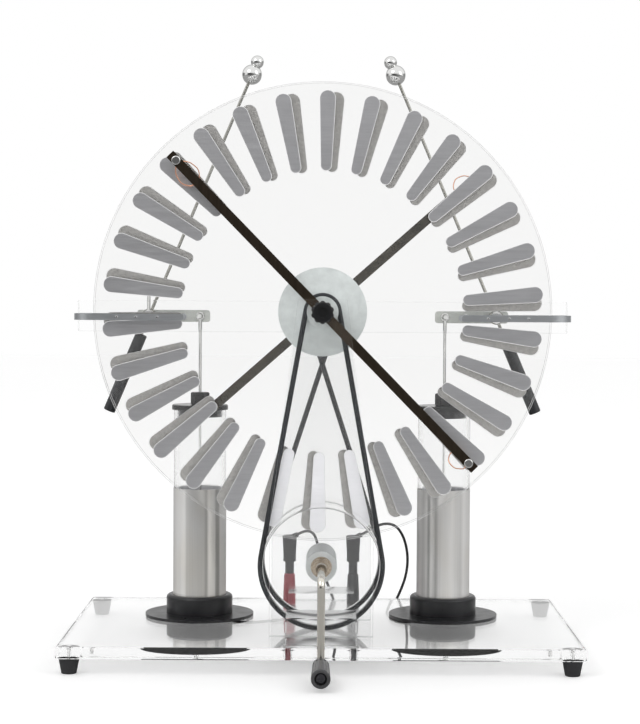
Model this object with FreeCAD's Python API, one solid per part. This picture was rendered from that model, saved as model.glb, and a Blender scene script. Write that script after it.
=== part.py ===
import FreeCAD, Part
import math
import os

# A hand-cranked electrostatic machine with two clear discs that turn opposite ways.
# Sizes are millimetres. X runs left to right, Y runs from the crank towards the back,
# Z runs up from the table. The origin is on the table, under the middle of the depth.
# Depths in this file are counted from the plane midway between the two discs, and every
# piece is moved by disc_plane_y when it is written.

Vector = FreeCAD.Vector

# Running and seating clearances
running_gap = 0.05
seat_gap = 0.3
fit_gap = 0.1

# How far a cutting shape reaches past what it cuts, and how near two edges count as level
overcut = 1.0
level_gap = 0.01

# Share of the shorter run that a bend in a wire, rod or lead takes up
bend_share = 0.45

# Screw heads and nuts in general
screw_head_round = 0.7
cross_reach_share = 0.62
cross_width_share = 0.24
cross_depth = 0.9
hexagon_ease_share = 0.6
hexagon_ease_reach = 1.6

# Clear base plate and its feet
plate_length = 342.0
plate_depth = 206.0
plate_thickness = 8.0
plate_front_reach = 77.5
plate_edge_break = 0.6
foot_height = 10.5
foot_top_radius = 6.9
foot_tip_radius = 4.9
foot_tip_rounding = 0.8
foot_inset = 8.0
foot_screw_radius = 1.5
foot_screw_grip = 5.0
foot_screw_head_radius = 2.8
foot_screw_head_height = 2.0
foot_recess_depth = 4.0

# Heights of the two shafts above the top of the plate
axle_height = 215.5
shaft_height = 45.0
axle_radius = 3.0
crank_rod_radius = 2.5

# Clear discs and their foil sectors
disc_radius = 155.0
disc_thickness = 3.0
disc_gap = 6.4
foil_thickness = 0.3
sector_count = 30
sector_outer_reach = 149.3
sector_inner_reach = 95.0
sector_outer_round = 5.5
sector_inner_round = 3.8
front_sector_angle = 1.1
rear_sector_angle = 3.4

# Cone-shaped bosses with the small pulleys at their noses
boss_radius = 30.0
boss_rim = 1.6
boss_nose_radius = 11.2
boss_spigot_radius = 9.0
clamp_ring_radius = 15.0
clamp_ring_thickness = 1.6
spacer_radius = 7.5
small_pulley_width = 6.2
small_pitch_radius = 11.1
small_flange_radius = 10.6

# Round belts and the large pulleys
belt_radius = 1.75
pulley_ratio = 3.7
belt_plane_offset = 20.5
large_pulley_width = 6.0
large_rim_over_pitch = 1.4
crossing_clearance = 0.5
sleeve_radius = 10.4
nut_across_flats = 11.8
nut_thickness = 4.4
nut_washer_radius = 7.0
nut_washer_thickness = 0.8

# Clear uprights
upright_thickness = 8.0
upright_foot_width = 69.0
upright_top_width = 32.4
upright_shoulder_height = 74.6
upright_over_axle = 8.4
nose_washer_thickness = 0.8
upright_washer_thickness = 2.0
block_width = 46.0
block_height = 18.2
block_depth = 33.0
bush_radius = 3.6
bush_flange_radius = 4.4
bush_flange_thickness = 0.6

# Neutraliser bars with their brushes
bar_width = 6.3
bar_thickness = 2.6
bar_half_length = 145.8
bar_screw_reach = 139.9
bar_hub_radius = 6.8
front_bar_angle = -44.3
rear_bar_angle = 48.5
bar_screw_radius = 1.6
bar_screw_head_radius = 3.0
bar_screw_head_height = 2.0
bar_nut_across_flats = 5.5
bar_nut_thickness = 2.0
brush_wire_radius = 0.35
brush_steps = 5
brush_opening_angle = 100.0
brush_clamp_reach = 4.3
long_brush_inward = 11.2
long_brush_sideways = -0.8
long_brush_radius = 8.0
short_brush_inward = 5.2
short_brush_sideways = 3.6
short_brush_radius = 6.4

# Star knobs on the axle
knob_radius = 7.6
knob_length = 8.6
knob_edge_round = 1.4
knob_flutes = 10
knob_flute_radius = 2.0
knob_flute_depth = 0.75
knob_washer_radius = 7.0
knob_recess_radius = 3.4
knob_recess_depth = 2.6
knob_floor = 1.2
knob_washer_thickness = 0.8

# Crank and its grip
crank_throw = 54.5
crank_bend = 5.0
crank_plate_gap = 3.5
crank_rod_tail = 1.5
grip_length = 42.0
grip_front_radius = 6.1
grip_back_radius = 5.5
grip_flutes = 12
grip_flute_radius = 1.1
grip_flute_depth = 0.45
grip_flute_margin = 3.0
grip_end_round = 0.8
grip_recess_radius = 4.0
grip_recess_depth = 4.6
grip_screw_radius = 3.3
grip_screw_height = 2.4

# Clear crossbar that carries the collectors and the electrodes
crossbar_length = 342.0
crossbar_height = 22.0
crossbar_thickness = 8.0
collector_drop = 4.0
crossbar_screw_spread = 12.5
crossbar_screw_radius = 1.5
crossbar_screw_head_radius = 2.8
crossbar_screw_head_height = 2.0
crossbar_screw_short = 1.0

# Collector strips that straddle the discs
strip_height = 4.4
strip_thickness = 1.0
strip_bend_radius = 15.0
strip_rim_gap = 12.5
strip_inner_reach = 93.2
outer_pin_reach = 138.3
middle_pin_reach = 125.4
inner_pin_reach = 111.1
comb_pin_radius = 0.6
comb_point_length = 2.0
comb_head_radius = 1.0
comb_head_top_radius = 0.6
comb_head_height = 0.5
comb_gap = 2.0

# Terminals behind the crossbar
electrode_reach = 122.0
second_post_reach = 100.0
post_radius = 2.2
post_screw_radius = 1.4
post_screw_head_radius = 2.1
post_screw_head_height = 1.0
post_spacer_radius = 4.2
post_spacer_length = 2.8
link_plate_height = 8.4
link_plate_thickness = 1.5
link_plate_outer = 130.8
link_plate_inner = 79.3
link_plate_corner = 2.0
post_nut_across_flats = 5.5
post_nut_thickness = 2.2
stud_radius = 1.2
stud_length = 11.5
stud_head_radius = 2.9
stud_head_height = 0.9
eye_screw_inset = 0.5

# Electrodes
electrode_lean_angle = 22.9
hub_radius = 5.0
hub_thickness = 4.8
electrode_rod_radius = 1.1
rod_socket_depth = 3.0
rod_in_ball = 1.8
rod_in_handle = 8.0
large_ball_radius = 7.05
small_ball_radius = 4.6
large_ball_reach = 184.0
small_ball_reach = 193.5
handle_radius = 4.2
handle_start = 14.0
handle_end = 73.0
handle_edge_round = 0.8

# Leyden jars
jar_reach = 86.1
jar_tube_radius = 18.3
jar_tube_wall = 2.5
jar_tube_top = 145.8
coating_thickness = 0.4
coating_top = 90.5
jar_flange_radius = 38.1
jar_flange_thickness = 2.0
jar_ring_radius = 23.3
jar_ring_height = 15.2
jar_ring_rounding = 2.4
jar_floor_thickness = 4.0
jar_cap_radius = 19.7
jar_cap_thickness = 3.5
jar_cap_edge_break = 0.6
jar_plug_depth = 5.0
jar_nut_across_flats = 11.4
jar_nut_height = 8.5
jar_rod_radius = 1.0
jar_rod_ferrule_radius = 1.35
jar_rod_ferrule_length = 7.0
eye_radius = 2.4
eye_wire_radius = 0.6
contact_disc_thickness = 1.0
contact_disc_rise = 1.0
jar_screw_radius = 2.0
jar_screw_nut_flats = 7.0
jar_screw_nut_thickness = 3.2
jar_screw_depth_in_floor = 3.0

# Sockets, plugs and leads
socket_reach = 23.3
socket_inset = 22.0
socket_top_radius = 3.9
socket_foot_radius = 4.5
socket_foot_height = 8.0
socket_edge_break = 0.8
socket_height = 22.4
socket_stem_radius = 3.0
socket_nut_flats = 9.0
socket_nut_thickness = 3.0
plug_pin_radius = 2.0
plug_pin_length = 17.0
plug_pin_tip_radius = 1.5
plug_pin_tip_length = 1.5
plug_pin_room = 1.0
plug_collar_radius = 3.2
plug_collar_height = 8.9
plug_grip_foot_radius = 4.6
plug_grip_top_radius = 5.3
plug_grip_foot_height = 6.0
plug_grip_edge_break = 0.8
plug_grip_height = 19.2
plug_outlet_radius = 1.9
plug_outlet_reach = 6.8
plug_outlet_drop = 2.4
plug_outlet_rise_angle = 28.0
lead_radius = 1.0
left_lead_first_run = 6.0
right_lead_first_run = 9.0
lead_last_run = 8.0
terminal_ring_radius = 3.6
terminal_ring_thickness = 0.8
terminal_tongue_width = 2.4
terminal_barrel_radius = 1.4
terminal_barrel_start = 4.8
terminal_barrel_length = 5.8
terminal_angle = 45.0

# Places worked out from the sizes above
plate_bottom = foot_height
plate_top = plate_bottom + plate_thickness
axle_z = plate_top + axle_height
shaft_z = plate_top + shaft_height
collector_z = axle_z - collector_drop
shaft_distance = axle_z - shaft_z

large_pitch_radius = small_pitch_radius * pulley_ratio
large_rim_radius = large_pitch_radius + large_rim_over_pitch
groove_radius = belt_radius + seat_gap

disc_inner_face = disc_gap / 2
disc_outer_face = disc_inner_face + disc_thickness
foil_face = disc_outer_face + foil_thickness
boss_nose = belt_plane_offset + small_pulley_width / 2
bar_inner_face = boss_nose + seat_gap + nose_washer_thickness + fit_gap
bar_outer_face = bar_inner_face + bar_thickness
axle_stack = bar_outer_face + fit_gap + upright_washer_thickness
large_pulley_face = belt_plane_offset + large_pulley_width / 2
nut_face = large_pulley_face + nut_washer_thickness + nut_thickness
shaft_stack = nut_face + fit_gap + bush_flange_thickness
upright_inner_face = max(axle_stack, shaft_stack)
upright_outer_face = upright_inner_face + upright_thickness
crossbar_front_face = upright_outer_face
crossbar_back_face = crossbar_front_face + crossbar_thickness
hub_front_face = crossbar_back_face + post_spacer_length + seat_gap
terminal_y = hub_front_face + hub_thickness / 2
link_plate_front_face = hub_front_face + hub_thickness + seat_gap
link_plate_back_face = link_plate_front_face + link_plate_thickness

plate_back_reach = plate_depth - plate_front_reach
socket_y = plate_back_reach - socket_inset
strip_outer_reach = disc_radius + strip_rim_gap + strip_thickness
comb_pin_reaches = (outer_pin_reach, middle_pin_reach, inner_pin_reach)
arm_y = -(plate_front_reach + crank_plate_gap + crank_rod_radius)
grip_back_y = arm_y - crank_bend
grip_front_y = grip_back_y - grip_length
disc_plane_y = (-grip_front_y - plate_back_reach) / 2


def keep(node, solids):
    """Writes one named piece, or a group of alike pieces, in the part's own frame."""
    group = Part.makeCompound(solids) if len(solids) > 1 else solids[0].copy()
    group.translate(Vector(0, disc_plane_y, 0))
    group.exportStep("parts/" + node + ".step")


def clock(angle, reach, y=0.0):
    """A point at a clock angle from the top of the axle, as seen from the front."""
    turn = math.radians(angle)
    return Vector(reach * math.sin(turn), y, axle_z + reach * math.cos(turn))


def along_y(x, z, radius, y_start, y_end):
    return Part.makeCylinder(radius, y_end - y_start, Vector(x, y_start, z), Vector(0, 1, 0))


def along_z(x, y, radius, z_start, z_end):
    return Part.makeCylinder(radius, z_end - z_start, Vector(x, y, z_start))


def block(x_start, x_end, y_start, y_end, z_start, z_end):
    corner = Vector(x_start, y_start, z_start)
    return Part.makeBox(x_end - x_start, y_end - y_start, z_end - z_start, corner)


def turned_on_y(outline, x, z):
    """Turns an outline of (radius, depth) corners about a line along Y."""
    corners = [Vector(x + radius, y, z) for radius, y in outline]
    face = Part.Face(Part.makePolygon(corners + corners[:1]))
    return face.revolve(Vector(x, 0, z), Vector(0, 1, 0), 360)


def turned_on_z(outline, x, y):
    """Turns an outline of (radius, height) corners about an upright line."""
    corners = [Vector(x + radius, y, z) for radius, z in outline]
    face = Part.Face(Part.makePolygon(corners + corners[:1]))
    return face.revolve(Vector(x, y, 0), Vector(0, 0, 1), 360)


def plate_on_y(corners, y_start, y_end):
    """A flat plate whose face is an outline of (x, z) corners."""
    points = [Vector(x, y_start, z) for x, z in corners]
    face = Part.Face(Part.makePolygon(points + points[:1]))
    return face.extrude(Vector(0, y_end - y_start, 0))


def hexagon(across_flats, height, base, axis):
    """A hexagonal bar with its corners eased at both ends, like a nut or a bolt head."""
    corner_radius = across_flats / math.sqrt(3)
    corners = []
    for index in range(6):
        turn = math.radians(60 * index)
        corners.append(Vector(corner_radius * math.cos(turn), corner_radius * math.sin(turn), 0))
    bar = Part.Face(Part.makePolygon(corners + corners[:1])).extrude(Vector(0, 0, height))
    ease = (corner_radius - across_flats / 2) * hexagon_ease_share
    flat_radius = corner_radius - hexagon_ease_reach * ease
    outline = [(0, 0), (flat_radius, 0), (corner_radius, ease), (corner_radius, height - ease)]
    outline += [(flat_radius, height), (0, height)]
    bar = bar.common(turned_on_z(outline, 0, 0))
    bar.Placement = FreeCAD.Placement(base, FreeCAD.Rotation(Vector(0, 0, 1), axis))
    return bar


def edges_of(shape, test):
    return [edge for edge in shape.Edges if test(edge)]


def is_circle(edge, radius):
    """True for a round edge of that radius."""
    return edge.Curve.TypeId == "Part::GeomCircle" and abs(edge.Curve.Radius - radius) < level_gap


def mirrored_depth(shape):
    return shape.mirror(Vector(0, 0, 0), Vector(0, 1, 0))


def mirrored_side(shape):
    return shape.mirror(Vector(0, 0, 0), Vector(1, 0, 0))


def joined(shapes):
    """Fuses shapes that meet face to face and cleans the seams between them."""
    return shapes[0].multiFuse(shapes[1:]).removeSplitter().Solids[0]


def disc_face(centre, axis, radius):
    return Part.Face(Part.Wire(Part.makeCircle(radius, centre, axis)))


def swept_arc(start, centre, axis, angle, radius):
    """A round bar bent along an arc that starts at a point and turns about a centre."""
    heading = axis.cross(start.sub(centre))
    return disc_face(start, heading, radius).revolve(centre, axis, angle)


def rounded_route(points):
    """Straight runs joined by tangent arcs, each as large as its two runs allow."""
    pieces = []
    radii = []
    run_start = points[0]
    for before, corner, after in zip(points, points[1:], points[2:]):
        come = corner.sub(before)
        leave = after.sub(corner)
        turn = come.getAngle(leave)
        cut = bend_share * min(come.Length, leave.Length)
        bend_radius = cut / math.tan(turn / 2)
        come.normalize()
        leave.normalize()
        arc_start = corner.sub(come * cut)
        pieces.append(("run", run_start, arc_start))
        axis = come.cross(leave)
        axis.normalize()
        centre = arc_start.add(axis.cross(come) * bend_radius)
        pieces.append(("arc", arc_start, centre, axis, math.degrees(turn)))
        run_start = corner.add(leave * cut)
        radii.append(round(bend_radius, 1))
    pieces.append(("run", run_start, points[-1]))
    return pieces, radii


def round_bar(points, radius):
    """A round bar along a rounded route, with the radii of its bends."""
    pieces, radii = rounded_route(points)
    solids = []
    length = 0.0
    for piece in pieces:
        if piece[0] == "run":
            run = piece[2].sub(piece[1])
            solids.append(Part.makeCylinder(radius, run.Length, piece[1], run))
            length += run.Length
        else:
            bend_radius = piece[1].sub(piece[2]).Length
            solids.append(swept_arc(piece[1], piece[2], piece[3], piece[4], radius))
            length += bend_radius * math.radians(piece[4])
    return joined(solids), radii, length


def cross_recess(centre, axis, head_radius):
    """The cross-shaped recess of a screw head, to be cut from the head."""
    reach = cross_reach_share * head_radius
    half = cross_width_share * head_radius / 2
    arm = Part.makeBox(2 * reach, 2 * half, cross_depth, Vector(-reach, -half, -cross_depth))
    other = arm.copy()
    other.rotate(Vector(0, 0, 0), Vector(0, 0, 1), 90)
    cross = arm.fuse(other)
    cross.Placement = FreeCAD.Placement(centre, FreeCAD.Rotation(Vector(0, 0, 1), axis))
    return cross


def base_plate():
    half = plate_length / 2
    plate = block(-half, half, -plate_front_reach, plate_back_reach, plate_bottom, plate_top)
    plate = plate.makeChamfer(plate_edge_break, plate.Edges)
    for x in (-socket_reach, socket_reach):
        stem = socket_stem_radius + fit_gap
        plate = plate.cut(along_z(x, socket_y, stem, plate_bottom - overcut, plate_top + overcut))
    for x in (-jar_reach, jar_reach):
        hole = jar_screw_radius + fit_gap
        plate = plate.cut(along_z(x, terminal_y, hole, plate_bottom - overcut, plate_top + overcut))
    for x, y in foot_places():
        hole_top = plate_bottom + foot_screw_grip
        plate = plate.cut(along_z(x, y, foot_screw_radius + fit_gap, plate_bottom - overcut, hole_top))
    keep("base_plate", [plate])


def foot_places():
    x = plate_length / 2 - foot_inset
    front = -plate_front_reach + foot_inset
    back = plate_back_reach - foot_inset
    return [(-x, front), (x, front), (-x, back), (x, back)]


def feet():
    rubber = []
    screws = []
    head_bottom = foot_recess_depth
    head_top = head_bottom + foot_screw_head_height
    for x, y in foot_places():
        outline = [(0, 0), (foot_tip_radius, 0), (foot_top_radius, foot_height), (0, foot_height)]
        foot = turned_on_z(outline, x, y)
        tip = edges_of(foot, lambda edge: is_circle(edge, foot_tip_radius))
        foot = foot.makeFillet(foot_tip_rounding, tip)
        foot = foot.cut(along_z(x, y, foot_screw_head_radius + fit_gap, -overcut, head_top))
        foot = foot.cut(along_z(x, y, foot_screw_radius + fit_gap, 0, foot_height + overcut))
        rubber.append(foot)
        screw = along_z(x, y, foot_screw_head_radius, head_bottom, head_top)
        shank = along_z(x, y, foot_screw_radius, head_top, plate_bottom + foot_screw_grip - fit_gap)
        screws.append(joined([screw, shank]))
    keep("rubber_feet", rubber)
    keep("foot_screws", screws)


def upright(node, facing):
    """A clear upright; facing is -1 for the front one and 1 for the rear one."""
    half_foot = upright_foot_width / 2
    half_top = upright_top_width / 2
    shoulder = plate_top + upright_shoulder_height
    top = axle_z + upright_over_axle
    corners = [(-half_foot, plate_top), (half_foot, plate_top), (half_foot, shoulder)]
    corners += [(half_top, top), (-half_top, top), (-half_foot, shoulder)]
    plate = plate_on_y(corners, upright_inner_face, upright_outer_face)
    plate = plate.cut(along_y(0, axle_z, axle_radius + fit_gap, 0, upright_outer_face + overcut))
    plate = plate.cut(along_y(0, shaft_z, bush_radius, 0, upright_outer_face + overcut))
    if facing > 0:
        for x in (-crossbar_screw_spread, crossbar_screw_spread):
            screw_hole = along_y(x, collector_z, crossbar_screw_radius, 0, upright_outer_face + overcut)
            plate = plate.cut(screw_hole)
    keep(node, [plate if facing > 0 else mirrored_depth(plate)])


def upright_blocks():
    """The clear blocks bonded to the foot of each upright and to the plate."""
    half = block_width / 2
    end = upright_outer_face + block_depth
    rear = block(-half, half, upright_outer_face, end, plate_top, plate_top + block_height)
    outer = edges_of(rear, lambda edge: edge.BoundBox.YMin > end - level_gap)
    rear = rear.makeChamfer(plate_edge_break, outer)
    keep("upright_blocks", [mirrored_depth(rear), rear])


def shaft_bushes():
    """The bushes that the crank rod turns in, pressed into the uprights."""
    inner = upright_inner_face - bush_flange_thickness
    outline = [(0, inner), (bush_flange_radius, inner), (bush_flange_radius, upright_inner_face)]
    outline += [(bush_radius, upright_inner_face), (bush_radius, upright_outer_face)]
    outline += [(0, upright_outer_face)]
    bush = turned_on_y(outline, 0, shaft_z)
    bore_radius = crank_rod_radius + running_gap
    bush = bush.cut(along_y(0, shaft_z, bore_radius, 0, upright_outer_face + overcut))
    keep("shaft_bushes", [mirrored_depth(bush), bush])


def axle():
    end_in_knob = knob_washer_thickness + knob_length - knob_recess_depth - knob_floor
    front = -(upright_outer_face + end_in_knob)
    back = crossbar_back_face + end_in_knob
    keep("axle", [along_y(0, axle_z, axle_radius, front, back)])


def star_knob(seat):
    """A fluted knob with a round recess in its face, screwed on to the end of the axle."""
    washer_end = seat + knob_washer_thickness
    washer = along_y(0, axle_z, knob_washer_radius, seat, washer_end)
    washer = washer.cut(along_y(0, axle_z, axle_radius + fit_gap, seat - overcut, washer_end + overcut))
    end = washer_end + knob_length
    outline = [(0, washer_end), (knob_radius, washer_end), (knob_radius, end - knob_edge_round)]
    outline += [(knob_radius - knob_edge_round, end), (0, end)]
    knob = turned_on_y(outline, 0, axle_z)
    for index in range(knob_flutes):
        turn = 360.0 * (index + 0.5) / knob_flutes
        place = clock(turn, knob_radius + knob_flute_radius - knob_flute_depth)
        flute = along_y(place.x, place.z, knob_flute_radius, washer_end - overcut, end + overcut)
        knob = knob.cut(flute)
    recess_floor = end - knob_recess_depth
    knob = knob.cut(along_y(0, axle_z, knob_recess_radius, recess_floor, end + overcut))
    knob = knob.cut(along_y(0, axle_z, axle_radius, washer_end - overcut, recess_floor - knob_floor))
    return knob, washer


def star_knobs():
    front_knob, front_washer = star_knob(upright_outer_face)
    rear_knob, rear_washer = star_knob(crossbar_back_face)
    keep("star_knobs", [mirrored_depth(front_knob), rear_knob])
    keep("axle_washers", [mirrored_depth(front_washer), rear_washer] + thrust_washers())


def thrust_washers():
    """Washers on the axle: one between the discs and one each side of each bar."""
    washers = []
    centre_half = disc_inner_face - clamp_ring_thickness - seat_gap
    spans = [(-centre_half, centre_half, spacer_radius)]
    for side in (-1, 1):
        inner = sorted((side * (boss_nose + seat_gap), side * (bar_inner_face - fit_gap)))
        outer = sorted((side * (bar_outer_face + fit_gap), side * upright_inner_face))
        spans.append((inner[0], inner[1], bar_hub_radius))
        spans.append((outer[0], outer[1], bar_hub_radius))
    for start, end, radius in spans:
        washer = along_y(0, axle_z, radius, start, end)
        hole = along_y(0, axle_z, axle_radius + fit_gap, start - overcut, end + overcut)
        washers.append(washer.cut(hole))
    return washers


def sector(turn, y_start, y_end):
    """One foil sector: two round ends joined by straight sides that touch both."""
    outer = sector_outer_reach - sector_outer_round
    inner = sector_inner_reach + sector_inner_round
    slope = math.asin((sector_outer_round - sector_inner_round) / (outer - inner))
    side_x = math.cos(slope)
    side_z = -math.sin(slope)
    outer_right = Vector(sector_outer_round * side_x, 0, outer + sector_outer_round * side_z)
    outer_left = Vector(-outer_right.x, 0, outer_right.z)
    inner_right = Vector(sector_inner_round * side_x, 0, inner + sector_inner_round * side_z)
    inner_left = Vector(-inner_right.x, 0, inner_right.z)
    edges = [
        Part.Arc(outer_right, Vector(0, 0, sector_outer_reach), outer_left).toShape(),
        Part.LineSegment(outer_left, inner_left).toShape(),
        Part.Arc(inner_left, Vector(0, 0, sector_inner_reach), inner_right).toShape(),
        Part.LineSegment(inner_right, outer_right).toShape(),
    ]
    foil = Part.Face(Part.Wire(edges)).extrude(Vector(0, y_end - y_start, 0))
    foil.translate(Vector(0, y_start, axle_z))
    foil.rotate(Vector(0, 0, axle_z), Vector(0, 1, 0), turn)
    return foil


def disc_set(name, side, first_angle):
    """One disc with its foils, boss and clamp ring; side is -1 for the front disc."""
    disc = along_y(0, axle_z, disc_radius, disc_inner_face, disc_outer_face)
    disc = disc.cut(along_y(0, axle_z, boss_spigot_radius + fit_gap, 0, foil_face))
    boss = boss_with_pulley()
    ring = along_y(0, axle_z, clamp_ring_radius, disc_inner_face - clamp_ring_thickness, disc_inner_face)
    ring = ring.cut(along_y(0, axle_z, axle_radius + running_gap, 0, foil_face))
    if side < 0:
        disc = mirrored_depth(disc)
        boss = mirrored_depth(boss)
        ring = mirrored_depth(ring)
    start, end = sorted((side * disc_outer_face, side * foil_face))
    pitch = 360.0 / sector_count
    foils = [sector(first_angle + pitch * index, start, end) for index in range(sector_count)]
    keep(name + "_disc", [disc])
    keep(name + "_sectors", foils)
    keep(name + "_boss", [boss, ring])


def boss_with_pulley():
    """A wide cone that backs the disc, with a grooved pulley turned at its nose."""
    neck = boss_nose - small_pulley_width
    outline = [(0, disc_inner_face), (boss_spigot_radius, disc_inner_face)]
    outline += [(boss_spigot_radius, disc_outer_face), (boss_radius, disc_outer_face)]
    outline += [(boss_radius, disc_outer_face + boss_rim), (boss_nose_radius, neck)]
    outline += [(small_flange_radius, neck), (small_flange_radius, boss_nose), (0, boss_nose)]
    boss = turned_on_y(outline, 0, axle_z)
    boss = boss.cut(belt_groove(small_pitch_radius, boss_nose_radius + overcut, axle_z))
    return boss.cut(along_y(0, axle_z, axle_radius + running_gap, 0, boss_nose + overcut))


def belt_groove(pitch_radius, open_radius, z):
    """The round-bottomed groove that a belt lies in, with straight walls above the belt."""
    start = belt_plane_offset - groove_radius
    end = belt_plane_offset + groove_radius
    mouth_start = Vector(open_radius, start, z)
    wall_start = Vector(pitch_radius, start, z)
    bottom = Vector(pitch_radius - groove_radius, belt_plane_offset, z)
    wall_end = Vector(pitch_radius, end, z)
    mouth_end = Vector(open_radius, end, z)
    edges = [
        Part.LineSegment(mouth_start, wall_start).toShape(),
        Part.Arc(wall_start, bottom, wall_end).toShape(),
        Part.LineSegment(wall_end, mouth_end).toShape(),
        Part.LineSegment(mouth_end, mouth_start).toShape(),
    ]
    return Part.Face(Part.Wire(edges)).revolve(Vector(0, 0, z), Vector(0, 1, 0), 360)


def wheel_train():
    """The large pulleys, the sleeve that joins them and the nuts that clamp them."""
    pulley_end = large_pulley_face
    pulley = along_y(0, shaft_z, large_rim_radius, pulley_end - large_pulley_width, pulley_end)
    pulley = pulley.cut(belt_groove(large_pitch_radius, large_rim_radius + overcut, shaft_z))
    pulley = pulley.cut(along_y(0, shaft_z, sleeve_radius, 0, pulley_end + overcut))
    keep("large_pulleys", [mirrored_depth(pulley), pulley])
    sleeve = along_y(0, shaft_z, sleeve_radius, -pulley_end, pulley_end)
    bore_end = pulley_end + overcut
    sleeve = sleeve.cut(along_y(0, shaft_z, crank_rod_radius, -bore_end, bore_end))
    keep("pulley_sleeve", [sleeve])
    washer_end = pulley_end + nut_washer_thickness
    washer = along_y(0, shaft_z, nut_washer_radius, pulley_end, washer_end)
    washer = washer.cut(along_y(0, shaft_z, crank_rod_radius, 0, washer_end + overcut))
    nut = hexagon(nut_across_flats, nut_thickness, Vector(0, washer_end, shaft_z), Vector(0, 1, 0))
    nut = nut.cut(along_y(0, shaft_z, crank_rod_radius, 0, nut_face + overcut))
    fasteners = [washer, nut]
    keep("pulley_nuts_and_washers", fasteners + [mirrored_depth(piece) for piece in fasteners])


def crank():
    """The bent rod that is both shaft and crank, and the grip that spins on its end."""
    grip_z = shaft_z - crank_throw
    tip_y = grip_front_y + grip_recess_depth
    back_y = upright_outer_face + crank_rod_tail
    bend = crank_bend
    upper = Vector(0, arm_y + bend, shaft_z)
    upper_centre = Vector(0, arm_y + bend, shaft_z - bend)
    arm_top = Vector(0, arm_y, shaft_z - bend)
    arm_foot = Vector(0, arm_y, grip_z + bend)
    lower_centre = Vector(0, arm_y - bend, grip_z + bend)
    pieces = [
        along_y(0, shaft_z, crank_rod_radius, upper.y, back_y),
        swept_arc(upper, upper_centre, Vector(1, 0, 0), 90, crank_rod_radius),
        along_z(0, arm_y, crank_rod_radius, arm_foot.z, arm_top.z),
        swept_arc(arm_foot, lower_centre, Vector(-1, 0, 0), 90, crank_rod_radius),
        along_y(0, grip_z, crank_rod_radius, tip_y, arm_y - bend),
    ]
    keep("crank_rod", [joined(pieces)])

    outline = [(0, grip_front_y), (grip_front_radius - grip_end_round, grip_front_y)]
    outline += [(grip_front_radius, grip_front_y + grip_end_round)]
    outline += [(grip_back_radius, grip_back_y - grip_end_round)]
    outline += [(grip_back_radius - grip_end_round, grip_back_y), (0, grip_back_y)]
    grip = turned_on_y(outline, 0, grip_z)
    flute_start = grip_front_y + grip_flute_margin
    flute_end = grip_back_y - grip_flute_margin
    for index in range(grip_flutes):
        turn = math.radians(360.0 * index / grip_flutes)
        ends = []
        for radius, y in ((grip_front_radius, flute_start), (grip_back_radius, flute_end)):
            reach = radius + grip_flute_radius - grip_flute_depth
            ends.append(Vector(reach * math.sin(turn), y, grip_z + reach * math.cos(turn)))
        flute = ends[1].sub(ends[0])
        grip = grip.cut(Part.makeCylinder(grip_flute_radius, flute.Length, ends[0], flute))
    grip = grip.cut(along_y(0, grip_z, grip_recess_radius, grip_front_y - overcut, tip_y))
    bore = crank_rod_radius + running_gap
    grip = grip.cut(along_y(0, grip_z, bore, grip_front_y - overcut, grip_back_y + overcut))
    keep("crank_grip", [grip])

    head_front = tip_y - grip_screw_height
    screw = along_y(0, grip_z, grip_screw_radius, head_front, tip_y)
    rim = edges_of(screw, lambda edge: edge.BoundBox.YMax < head_front + level_gap)
    screw = screw.makeFillet(screw_head_round, rim)
    face = Vector(0, head_front, grip_z)
    keep("grip_screw", [screw.cut(cross_recess(face, Vector(0, -1, 0), grip_screw_radius))])


def belt_geometry(crossed):
    """Lean of the straight strands of a belt, and their length between the pulleys."""
    if crossed:
        reach = large_pitch_radius + small_pitch_radius
    else:
        reach = large_pitch_radius - small_pitch_radius
    lean = math.asin(reach / shaft_distance)
    return lean, shaft_distance * math.cos(lean)


def front_belt():
    """An open belt, so the front disc turns the same way as the crank."""
    y = -belt_plane_offset
    lean, length = belt_geometry(False)
    degrees = math.degrees(lean)
    pieces = []
    axis = Vector(0, 1, 0)
    wrap_start = Vector(-small_pitch_radius * math.cos(lean), y,
                        axle_z + small_pitch_radius * math.sin(lean))
    pieces.append(swept_arc(wrap_start, Vector(0, y, axle_z), axis, 180 - 2 * degrees, belt_radius))
    low = Vector(large_pitch_radius * math.cos(lean), y, shaft_z + large_pitch_radius * math.sin(lean))
    pieces.append(swept_arc(low, Vector(0, y, shaft_z), axis, 180 + 2 * degrees, belt_radius))
    for side in (-1, 1):
        start = Vector(side * small_pitch_radius * math.cos(lean), y, wrap_start.z)
        end = Vector(side * low.x, y, low.z)
        pieces.append(Part.makeCylinder(belt_radius, length, start, end.sub(start)))
    keep("front_belt", [joined(pieces)])


def rear_belt():
    """A crossed belt, so the rear disc turns against the crank. Where its strands pass,
    each bows to its own side of the belt's plane in two gentle bends each way."""
    y = belt_plane_offset
    lean, length = belt_geometry(True)
    degrees = math.degrees(lean)
    bow = belt_radius + crossing_clearance / 2
    axis = Vector(0, 1, 0)
    small_centre = Vector(0, y, axle_z)
    large_centre = Vector(0, y, shaft_z)
    pieces = []
    first = Vector(-small_pitch_radius * math.cos(lean), y, axle_z - small_pitch_radius * math.sin(lean))
    pieces.append(swept_arc(first, small_centre, axis, 180 + 2 * degrees, belt_radius))
    low = Vector(large_pitch_radius * math.cos(lean), y, shaft_z + large_pitch_radius * math.sin(lean))
    pieces.append(swept_arc(low, large_centre, axis, 180 + 2 * degrees, belt_radius))
    before_crossing = length / (1 + pulley_ratio)
    for side in (-1, 1):
        start = Vector(side * small_pitch_radius * math.cos(lean), y, first.z)
        end = Vector(-side * low.x, y, low.z)
        run = end.sub(start)
        run.normalize()
        aside = Vector(0, side * bow, 0)
        crossing = start.add(run * before_crossing).add(aside)
        pieces += gentle_shift(start, crossing, run)
        pieces += gentle_shift(crossing, end, run)
    keep("rear_belt", [joined(pieces)])


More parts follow.
